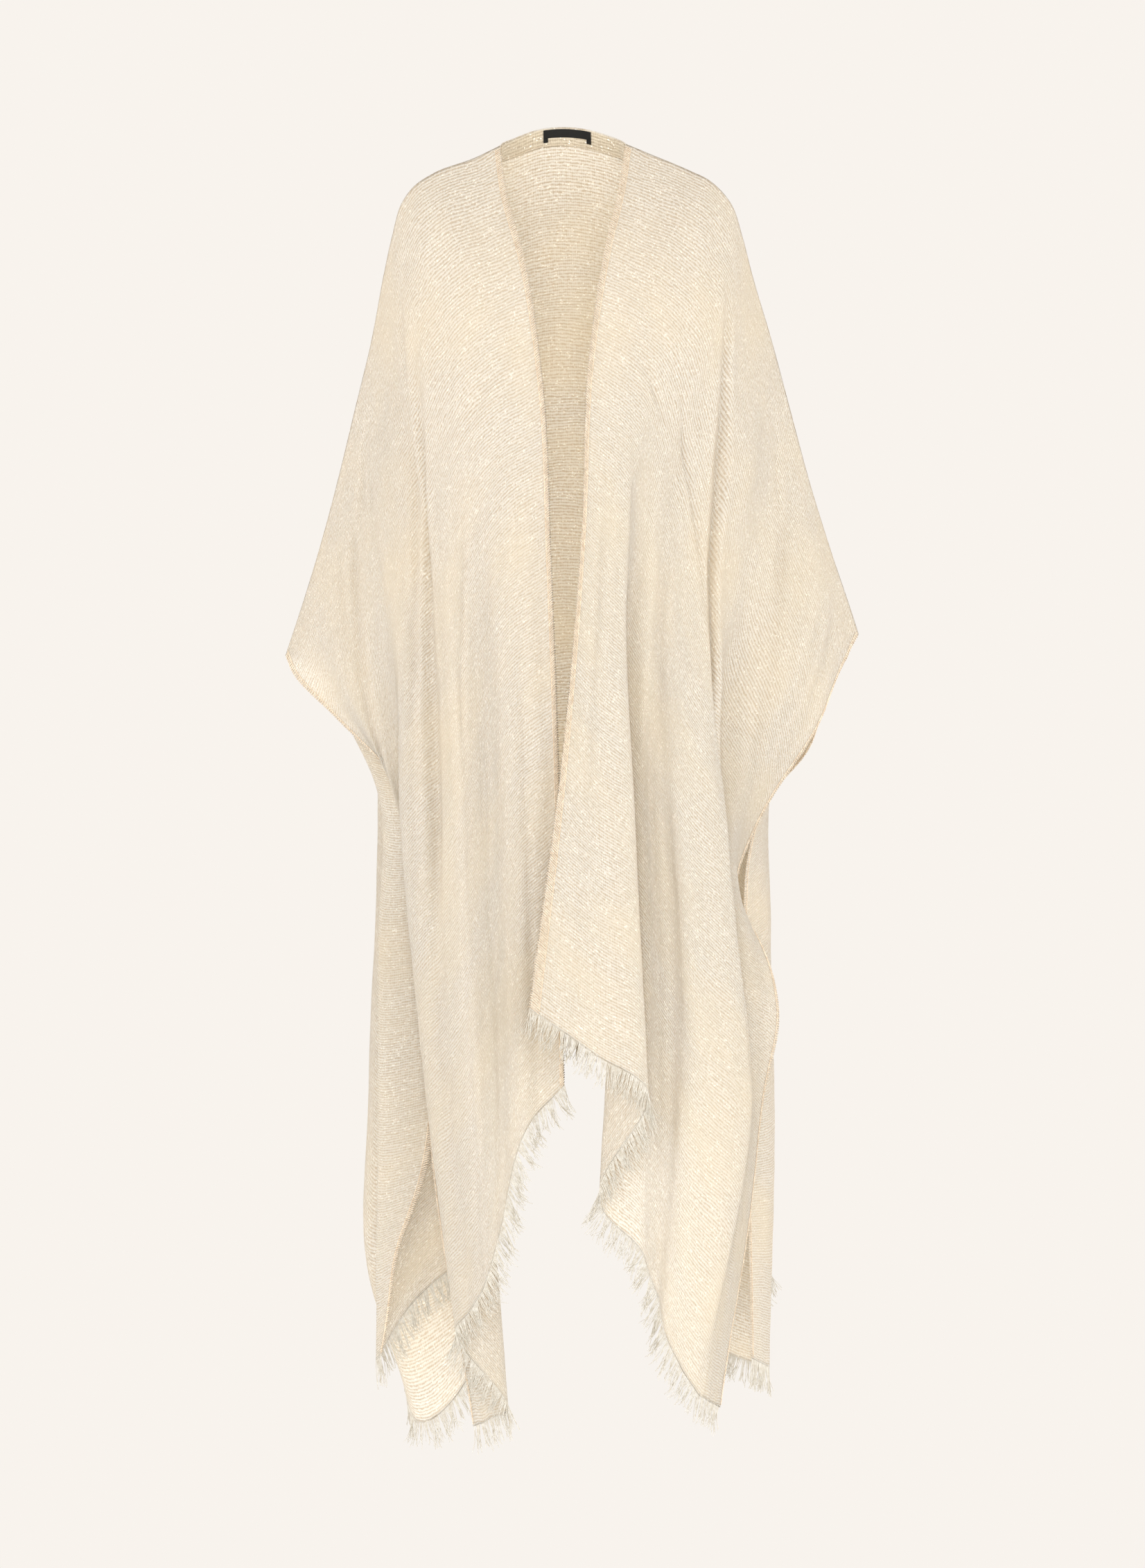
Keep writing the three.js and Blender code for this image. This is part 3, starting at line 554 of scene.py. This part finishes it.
def fringe(name, panel, seed, material):
    """Loose yarns that start in the hem, lean with their neighbours in locks and curl at the tips."""
    rng = np.random.default_rng(seed)
    hem, normal, down, away, length = hem_line(panel)
    count = int(length[-1] / YARN_SPACING)
    at = (np.arange(count) + rng.uniform(-YARN_STRAY, YARN_STRAY, count)) * YARN_SPACING
    root, out, drop, face = [sample(values, length, at) for values in (hem, away, down, normal)]
    wander = LOCK_WANDER * np.sin(at / LOCK_WANDER_LENGTH)
    lock = np.floor((at + wander) / LOCK_WIDTH).astype(int)
    lock_turn = rng.normal(0, LOCK_TURN, lock.max() + 2)[lock]
    lock_long = rng.uniform(*LOCK_LENGTHS, lock.max() + 2)[lock]
    gather = (lock + 0.5) * LOCK_WIDTH - at
    direction = OUT_SHARE * out + DROP_SHARE * drop + WEIGHT
    direction[:, 1] *= DEPTH_SHARE
    direction = unit(direction)
    side = unit(np.cross(direction, face))
    sense = np.sign(np.einsum("ij,ij->i", np.gradient(root, axis=0), side))
    long = FRINGE_LENGTH * lock_long * rng.uniform(*YARN_LENGTHS, count)
    share = np.linspace(0, 1, YARN_STEPS)
    lean = lock_turn + rng.normal(0, YARN_LEAN, count)
    wave = rng.uniform(*YARN_WAVES, count)
    phase = rng.uniform(0, WAVE_PHASES, count)
    curl = rng.normal(0, YARN_CURL, count)
    lift = rng.normal(0, YARN_LIFT, count)
    paths = root[:, None, :] - YARN_ROOT * drop[:, None, :] * (1 - share)[None, :, None]
    paths = paths + direction[:, None, :] * (long[:, None] * share)[:, :, None]
    sway = lean[:, None] * long[:, None] * share ** LEAN_POWER * LEAN_SHARE + curl[:, None] * share ** 3
    sway = sway + wave[:, None] * np.sin(phase[:, None] + WAVE_TURN * share) * share
    sway = sway + sense[:, None] * gather[:, None] * LOCK_GATHER * share
    paths = paths + side[:, None, :] * sway[:, :, None]
    paths = paths + face[:, None, :] * (lift[:, None] * share ** 2)[:, :, None]
    points, faces = tubes(paths, np.linspace(*YARN_RADII, YARN_STEPS), sides=3)
    return new_object(name, mesh_from_arrays(name, points, faces), material)


# Overlocking. Insets from the edge, slant, gap to the cloth, stray and radii are in mm. The reach past the
# edge is a share of the third inset, and the chain takes every fourth station.
LOOP_INSETS = (0.0, 0.8, 3.0, OVERLOCK_WIDTH)
LOOP_SLANT = 1.5
LOOP_GAP = 0.3
LOOP_LIFT = CLOTH_WALL / 2 + LOOP_GAP
LOOP_REACH = 0.25
LOOP_STRAY = 0.1
LOOP_RADIUS = 0.5
CHAIN_RADIUS = 0.45
CHAIN_STRIDE = 4
OVERLOCK_FALLS = (0.002, 0.999)
OVERLOCK_SAMPLES = 800


def overlock(name, panel, edge, seed, material):
    """Serging along a side of a panel: slanted loops over the edge, and a chain on both faces."""
    rng = np.random.default_rng(seed)
    sign = 1 if edge == panel.keys[0] else -1
    across = edge + sign * np.array(LOOP_INSETS)
    falls = np.linspace(*OVERLOCK_FALLS, OVERLOCK_SAMPLES)
    # the panel wants rising stations, and the rows go back to the order of the insets after it
    order = np.argsort(across)
    points, normals = panel.grid(across[order], falls)
    points, normals = points[np.argsort(order)], normals[np.argsort(order)]
    length = running_length(points[0])
    count = int(length[-1] / OVERLOCK_PITCH)
    at = (np.arange(count) + 0.5) * OVERLOCK_PITCH
    slants = ((3, LOOP_SLANT), (2, LOOP_SLANT / 2), (1, 0))
    front = [sample(points[row] + normals[row] * LOOP_LIFT, length, at + slant) for row, slant in slants]
    beyond = sample(points[0] + (points[0] - points[2]) * LOOP_REACH, length, at)
    rear = [sample(points[row] - normals[row] * LOOP_LIFT, length, at - slant)
            for row, slant in reversed(slants)]
    paths = np.stack(front + [beyond] + rear, axis=1)
    paths = paths + rng.normal(0, LOOP_STRAY, paths.shape)
    loops, loop_faces = tubes(paths, np.full(paths.shape[1], LOOP_RADIUS), sides=4)
    line, away = points[-1][::CHAIN_STRIDE], normals[-1][::CHAIN_STRIDE]
    chains = np.stack([line + away * LOOP_LIFT, line - away * LOOP_LIFT])
    chain, chain_faces = tubes(chains, np.full(chains.shape[1], CHAIN_RADIUS), sides=4)
    all_points = np.concatenate([loops, chain])
    all_faces = np.concatenate([loop_faces, chain_faces + len(loops)])
    return new_object(name, mesh_from_arrays(name, all_points, all_faces), material)


# Materials

# Sockets of a Mix node that mixes colours.
MIX_FACTOR = 0
MIX_FIRST = 6
MIX_SECOND = 7
MIX_RESULT = 2

# How far the weave wanders sideways and down, in metres of cloth.
WEAVE_WANDER = (0.004, 0.012, 0)


def set_inputs(made, **values):
    """Values of a node's inputs; _ stands for a space in the name of an input."""
    for key, value in values.items():
        made.inputs[key.replace("_", " ")].default_value = value


def node(tree, kind, **values):
    """A new node: names that start with in_ are its inputs, the others its settings."""
    made = tree.nodes.new(kind)
    for key, value in values.items():
        if key.startswith("in_"):
            set_inputs(made, **{key[3:]: value})
        else:
            setattr(made, key, value)
    return made


def start_material(name):
    material = bpy.data.materials.new(name)
    material.use_nodes = True
    tree = material.node_tree
    tree.nodes.clear()
    output = tree.nodes.new("ShaderNodeOutputMaterial")
    shader = tree.nodes.new("ShaderNodeBsdfPrincipled")
    tree.links.new(shader.outputs["BSDF"], output.inputs["Surface"])
    return material, tree, shader


def cloth_place(tree):
    return node(tree, "ShaderNodeUVMap", uv_map="UVMap").outputs["UV"]


def texture(tree, kind, place, **values):
    made = node(tree, kind, **values)
    tree.links.new(place, made.inputs["Vector"])
    return made


def scaled(tree, place, scale):
    stretch = node(tree, "ShaderNodeMapping", in_Scale=scale)
    tree.links.new(place, stretch.inputs["Vector"])
    return stretch.outputs["Vector"]


def map_range(tree, value, **values):
    made = node(tree, "ShaderNodeMapRange", **values)
    tree.links.new(value, made.inputs["Value"])
    return made.outputs["Result"]


def weighted_sum(tree, parts):
    """Sum of values, each times its share, in this order."""
    total = None
    for value, share in parts:
        step = node(tree, "ShaderNodeMath", operation="MULTIPLY" if total is None else "MULTIPLY_ADD")
        step.inputs[1].default_value = share
        tree.links.new(value, step.inputs[0])
        if total is not None:
            tree.links.new(total, step.inputs[2])
        total = step.outputs[0]
    return total


def ramp_colour(tree, value, stops):
    ramp = tree.nodes.new("ShaderNodeValToRGB")
    for element, (position, colour) in zip(ramp.color_ramp.elements, stops):
        element.position = position
        element.color = (*colour, 1)
    tree.links.new(value, ramp.inputs["Fac"])
    return ramp.outputs["Color"]


def mix_colour(tree, factor, first, second):
    """The first colour where the factor is 0, and the second, a plain one, where it is 1."""
    mix = node(tree, "ShaderNodeMix", data_type="RGBA")
    tree.links.new(factor, mix.inputs[MIX_FACTOR])
    tree.links.new(first, mix.inputs[MIX_FIRST])
    mix.inputs[MIX_SECOND].default_value = (*second, 1)
    return mix.outputs[MIX_RESULT]


def add_bump(tree, shader, height, strength, distance):
    bump = node(tree, "ShaderNodeBump", in_Strength=strength, in_Distance=distance)
    tree.links.new(height, bump.inputs["Height"])
    tree.links.new(bump.outputs["Normal"], shader.inputs["Normal"])
    return bump.outputs["Normal"]


def weave_height(tree, place):
    """Height of the weave: crumples, weft ribs, warp columns and slubs."""
    # the weave wanders, so its lines are bent by a slow noise first
    drift = texture(tree, "ShaderNodeTexNoise", place, in_Scale=14.0, in_Detail=2.0)
    bend = node(tree, "ShaderNodeVectorMath", operation="MULTIPLY_ADD")
    bend.inputs[1].default_value = WEAVE_WANDER
    tree.links.new(drift.outputs["Color"], bend.inputs[0])
    tree.links.new(place, bend.inputs[2])
    bent = bend.outputs[0]
    crumple = texture(tree, "ShaderNodeTexNoise", scaled(tree, bent, (420, 260, 1)),
                      in_Scale=1.0, in_Detail=3.0, in_Roughness=0.6)
    yarns = scaled(tree, bent, (3.2, 3.2, 1))
    ribs = texture(tree, "ShaderNodeTexWave", yarns, bands_direction="Y",
                   in_Scale=29.0, in_Distortion=2.4, in_Detail=2.0, in_Detail_Scale=2.0)
    columns = texture(tree, "ShaderNodeTexWave", yarns, bands_direction="X", in_Scale=58.0, in_Distortion=3.0)
    slubs = texture(tree, "ShaderNodeTexNoise", scaled(tree, bent, (40, 900, 1)), in_Scale=1.0, in_Detail=2.0)
    parts = ((crumple, 1.3), (ribs, 0.55), (columns, 0.18), (slubs, 0.5))
    return weighted_sum(tree, [(part.outputs["Fac"], share) for part, share in parts])


def cloth_colour(tree, place, height, light, dark, warm):
    """Yarn tone with painted shade, darker where the weave's height is low, in the hollows between ribs and
    crumples, with slow warmer patches.
    """
    # painted shade: the colour runs to the dark tone where the weave is low and to the light tone on its ridges
    unshaded_share = map_range(tree, height, in_From_Min=0.55, in_From_Max=1.95)
    tone = ramp_colour(tree, unshaded_share, [(0.25, dark), (0.62, light)])
    patches = texture(tree, "ShaderNodeTexNoise", place, in_Scale=7.0, in_Detail=2.0)
    share = map_range(tree, patches.outputs["Fac"], in_From_Min=0.42, in_From_Max=0.66, in_To_Max=0.45)
    return mix_colour(tree, share, tone, warm)


def lit_cells(tree, place):
    """1 on scattered cells of metallic yarn, which carry painted glints, 0 elsewhere."""
    cells = texture(tree, "ShaderNodeTexVoronoi", place, in_Scale=900.0, in_Randomness=1.0)
    value = node(tree, "ShaderNodeSeparateColor")
    tree.links.new(cells.outputs["Color"], value.inputs["Color"])
    return map_range(tree, value.outputs["Red"], in_From_Min=0.955, in_From_Max=0.97)


# Painted glints on the metallic cells: a near-white base colour and a faint emission that glows with no lamp
# behind it
GLINT_COLOUR = (1.0, 0.98, 0.9)
GLEAM_COLOUR = (1, 0.98, 0.93, 1)
GLEAM_STRENGTH = 0.32
SHEEN_TINT = (1, 0.95, 0.86, 1)


def cloth_material(name, light, dark, warm, translucent):
    """Crinkled plain weave with a painted metallic sparkle (whiter cells that glow faintly), which lets some
    light through.
    """
    material, tree, shader = start_material(name)
    link = tree.links.new
    place = cloth_place(tree)
    height = weave_height(tree, place)
    bumped = add_bump(tree, shader, height, strength=0.62, distance=0.0011)
    colour = cloth_colour(tree, place, height, light, dark, warm)
    lit = lit_cells(tree, place)
    # painted glints: the metallic cells turn near white and glow faintly by emission, while their lower
    # roughness is real
    link(mix_colour(tree, lit, colour, GLINT_COLOUR), shader.inputs["Base Color"])
    link(map_range(tree, lit, in_To_Min=0.86, in_To_Max=0.3), shader.inputs["Roughness"])
    link(weighted_sum(tree, [(lit, GLEAM_STRENGTH)]), shader.inputs["Emission Strength"])
    set_inputs(shader, Emission_Color=GLEAM_COLOUR, Sheen_Weight=0.3, Sheen_Roughness=0.5,
               Sheen_Tint=SHEEN_TINT, Specular_IOR_Level=0.35)
    glow = tree.nodes.new("ShaderNodeBsdfTranslucent")
    link(colour, glow.inputs["Color"])
    link(bumped, glow.inputs["Normal"])
    blend = tree.nodes.new("ShaderNodeMixShader")
    blend.inputs[0].default_value = translucent
    link(shader.outputs["BSDF"], blend.inputs[1])
    link(glow.outputs["BSDF"], blend.inputs[2])
    link(blend.outputs["Shader"], tree.nodes["Material Output"].inputs["Surface"])
    return material


def yarn_material(name, light, dark, roughness):
    material, tree, shader = start_material(name)
    place = tree.nodes.new("ShaderNodeTexCoord").outputs["Object"]
    noise = texture(tree, "ShaderNodeTexNoise", place, in_Scale=260.0, in_Detail=3.0).outputs["Fac"]
    tree.links.new(ramp_colour(tree, noise, [(0.35, dark), (0.65, light)]), shader.inputs["Base Color"])
    add_bump(tree, shader, noise, strength=0.4, distance=0.0004)
    set_inputs(shader, Roughness=roughness, Sheen_Weight=0.3)
    return material


def label_material(name, light, dark):
    material, tree, shader = start_material(name)
    threads = texture(tree, "ShaderNodeTexWave", cloth_place(tree), bands_direction="Y",
                      in_Scale=420.0, in_Distortion=0.4).outputs["Fac"]
    tree.links.new(ramp_colour(tree, threads, [(0.2, dark), (0.9, light)]), shader.inputs["Base Color"])
    add_bump(tree, shader, threads, strength=0.35, distance=0.0003)
    set_inputs(shader, Roughness=0.6, Specular_IOR_Level=0.3)
    return material


# For both cloths, dark is painted shade: the colour that the hollows of the weave take on
cloth = cloth_material("crinkled_cloth", light=(0.912, 0.885, 0.83), dark=(0.70, 0.61, 0.49),
                       warm=(0.905, 0.825, 0.675), translucent=0.5)
band_cloth = cloth_material("band_cloth", light=(0.80, 0.72, 0.58), dark=(0.56, 0.47, 0.34),
                            warm=(0.74, 0.62, 0.46), translucent=0.15)
fringe_yarn = yarn_material("fringe_yarn", light=(0.74, 0.71, 0.64), dark=(0.60, 0.55, 0.46), roughness=0.85)
overlock_yarn = yarn_material("overlock_yarn", light=(0.90, 0.77, 0.60), dark=(0.66, 0.52, 0.37),
                              roughness=0.8)
label_satin = label_material("label_satin", light=(0.007, 0.007, 0.0065), dark=(0.002, 0.002, 0.002))

# Cloth panels: stations across and down each one, and how they crowd at the rails and the shoulder fold.
GRID = {"left_front": (158, 240), "right_front": (158, 240), "back": (236, 200)}
RAIL_SHARE = 0.55
EVEN_SHARE = 0.45
TOP_CROWDING = 0.3


def stations_across(keys, count):
    """Stations that follow the rails in part, so that narrow rails get more of them."""
    by_rail = np.interp(np.linspace(0, 1, count), np.linspace(0, 1, len(keys)), keys)
    return RAIL_SHARE * by_rail + EVEN_SHARE * np.linspace(keys[0], keys[-1], count)


for name, panel in panels.items():
    rows, columns = GRID[name]
    across = stations_across(panel.keys, rows)
    falls = np.linspace(0, 1, columns)
    falls = TOP_CROWDING * falls ** 2 + (1 - TOP_CROWDING) * falls
    points, normals = panel.grid(across, falls)
    piece = shell("cloth_" + name, points, normals, across, falls, CLOTH_WALL, cloth)
    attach(piece, "root")
    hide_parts(name)

# Fringe and overlocked edges
FRINGE_SEED = 40
OVERLOCK_SEED = 60
trims = {name: [] for name in panels}
for number, (name, panel) in enumerate(panels.items()):
    threads = fringe("fringe_" + name, panel, FRINGE_SEED + number, fringe_yarn)
    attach(threads, "root")
    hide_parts(name + "_fringe")
    trims[name].append(threads)
    for side, edge in (("low", panel.keys[0]), ("high", panel.keys[-1])):
        stitches = overlock("overlock_%s_%s" % (name, side), panel, edge, OVERLOCK_SEED + number,
                            overlock_yarn)
        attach(stitches, "root")
        trims[name].append(stitches)

# Neck band on the inner face of the back, its sewn line, and the blank label on it
BAND_REACH = 64
BAND_WALL = 1.0
BAND_GAP = 0.4
BAND_LIFT = CLOTH_WALL / 2 + BAND_GAP + BAND_WALL / 2
BAND_TOP_FALL = 0.0006


def patch(name, across, falls, lift, wall, material):
    """A small shell that lies inside the back, at this distance from its middle."""
    points, normals = panels["back"].grid(across, falls, fine=False)
    return shell(name, points - normals * lift, normals, across, falls, wall, material)


band = patch("band", np.linspace(-BAND_REACH, BAND_REACH, 90),
             np.linspace(BAND_TOP_FALL, BAND_HEIGHT / CLOTH_LENGTH, 12), BAND_LIFT, BAND_WALL, band_cloth)
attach(band, "root")
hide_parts("neck_band")
trims["back"].append(band)

# The sewn line: each stitch has four points, and its two middle ones stand off the band.
STITCH_COUNT = 62
STITCH_REACH = 62
STITCH_INSET = 2.2
STITCH_FALL = (BAND_HEIGHT - STITCH_INSET) / CLOTH_LENGTH
STITCH_LIFT = 0.35
STITCH_RADII = np.array([0.12, 0.24, 0.24, 0.12])
stitch_points = len(STITCH_RADII)
stitch_across = np.linspace(-STITCH_REACH, STITCH_REACH, stitch_points * STITCH_COUNT + 1)
# a second row of points close below gives the normals their direction
stitch_falls = np.array([STITCH_FALL, STITCH_FALL + 0.001])
points, normals = panels["back"].grid(stitch_across, stitch_falls, fine=False)
line = points[:, 0] - normals[:, 0] * (BAND_LIFT + BAND_WALL / 2)
stitch_paths = line[:-1].reshape(STITCH_COUNT, stitch_points, 3)
stitch_paths[:, 1:3] -= normals[:, 0].mean(axis=0) * STITCH_LIFT
stitch_mesh = mesh_from_arrays("band_stitches", *tubes(stitch_paths, STITCH_RADII, sides=5))
band_stitches = new_object("band_stitches", stitch_mesh, overlock_yarn)
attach(band_stitches, "root")
trims["back"].append(band_stitches)

# Label: an arch from low to high across, whose two legs reach further down.
LABEL_LOW = -16
LABEL_HIGH = 22
LEG_WIDTH = 3.6
LABEL_FALLS = np.linspace(0.0012, 0.0102, 12)
LEG_FALLS = np.linspace(0.01, 0.0148, 8)
LABEL_WALL = 0.6
LABEL_GAP = 0.3
LABEL_LIFT = BAND_LIFT + BAND_WALL / 2 + LABEL_GAP + LABEL_WALL / 2
label_parts = [
    ("neck_label", np.linspace(LABEL_LOW, LABEL_HIGH, 60), LABEL_FALLS),
    ("label_leg_right", np.linspace(LABEL_LOW, LABEL_LOW + LEG_WIDTH, 8), LEG_FALLS),
    ("label_leg_left", np.linspace(LABEL_HIGH - LEG_WIDTH, LABEL_HIGH, 8), LEG_FALLS),
]
for name, across, falls in label_parts:
    piece = patch(name, across, falls, LABEL_LIFT, LABEL_WALL, label_satin)
    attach(piece, "root")
    trims["back"].append(piece)
    if name == "neck_label":
        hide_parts("label")

# Camera, light and a plain pale surround
CAMERA_DISTANCE = 16.0
SENSOR_WIDTH = 36
FRAME_HEIGHT = 1.6965
FRAME_MIDDLE = Vector((0.006, -0.06, -0.702))
camera_data = bpy.data.cameras.new("camera")
camera_data.sensor_width = SENSOR_WIDTH
camera_data.lens = SENSOR_WIDTH * CAMERA_DISTANCE / FRAME_HEIGHT
camera = bpy.data.objects.new("camera", camera_data)
camera.location = FRAME_MIDDLE + Vector((0, -CAMERA_DISTANCE, 0))
camera.rotation_euler = (math.radians(90), 0, 0)
bpy.context.scene.collection.objects.link(camera)
bpy.context.scene.camera = camera

# Lights: name, place, where they point, width and height in metres, and watts.
LIGHT_COLOUR = (0.99, 1, 1)
LIGHT_TARGET = (0, 0, -0.9)
LIGHTS = [
    ("key", (-3.0, -3.6, -0.8), LIGHT_TARGET, (2.4, 3.0), 68),
    ("fill", (3.0, -3.6, -0.8), LIGHT_TARGET, (2.4, 3.0), 62),
    ("left", (-4.2, -0.8, -1.0), LIGHT_TARGET, (2.4, 3.0), 66),
    ("right", (4.2, -0.8, -1.0), LIGHT_TARGET, (2.4, 3.0), 66),
    ("front", (0, -6.0, -1.2), LIGHT_TARGET, (1.4, 1.6), 142),
    ("back", (0.1, 2.9, -0.4), (0, 0, -0.65), (2.4, 2.4), 70),
]
for name, place, target, size, power in LIGHTS:
    data = bpy.data.lights.new(name, "AREA")
    data.shape = "RECTANGLE"
    data.size, data.size_y = size
    data.energy = power
    data.color = LIGHT_COLOUR
    light = bpy.data.objects.new(name, data)
    light.location = place
    light.rotation_euler = (Vector(target) - Vector(place)).to_track_quat("-Z", "Y").to_euler()
    light.visible_camera = False
    bpy.context.scene.collection.objects.link(light)

SURROUND_COLOUR = (0.93, 0.888, 0.840, 1)
SURROUND_STRENGTH = 1.01
surround, _, surround_shader = start_material("surround")
set_inputs(surround_shader, Base_Color=(0, 0, 0, 1), Roughness=1, Specular_IOR_Level=0,
           Emission_Color=SURROUND_COLOUR, Emission_Strength=SURROUND_STRENGTH)

# a wide floor in the same tone as the world, so no horizon shows
FLOOR_Z = -1.56
FLOOR_REACH = 60.0
corners = [(side * FLOOR_REACH, end * FLOOR_REACH, FLOOR_Z)
           for side, end in ((-1, -1), (1, -1), (1, 1), (-1, 1))]
floor = new_object("floor", mesh_from_arrays("floor", corners, [(0, 1, 2, 3)]), surround)

world = bpy.data.worlds.new("studio")
bpy.context.scene.world = world
world.use_nodes = True
set_inputs(world.node_tree.nodes["Background"], Color=SURROUND_COLOUR, Strength=SURROUND_STRENGTH)
bpy.context.scene.view_settings.view_transform = "Standard"
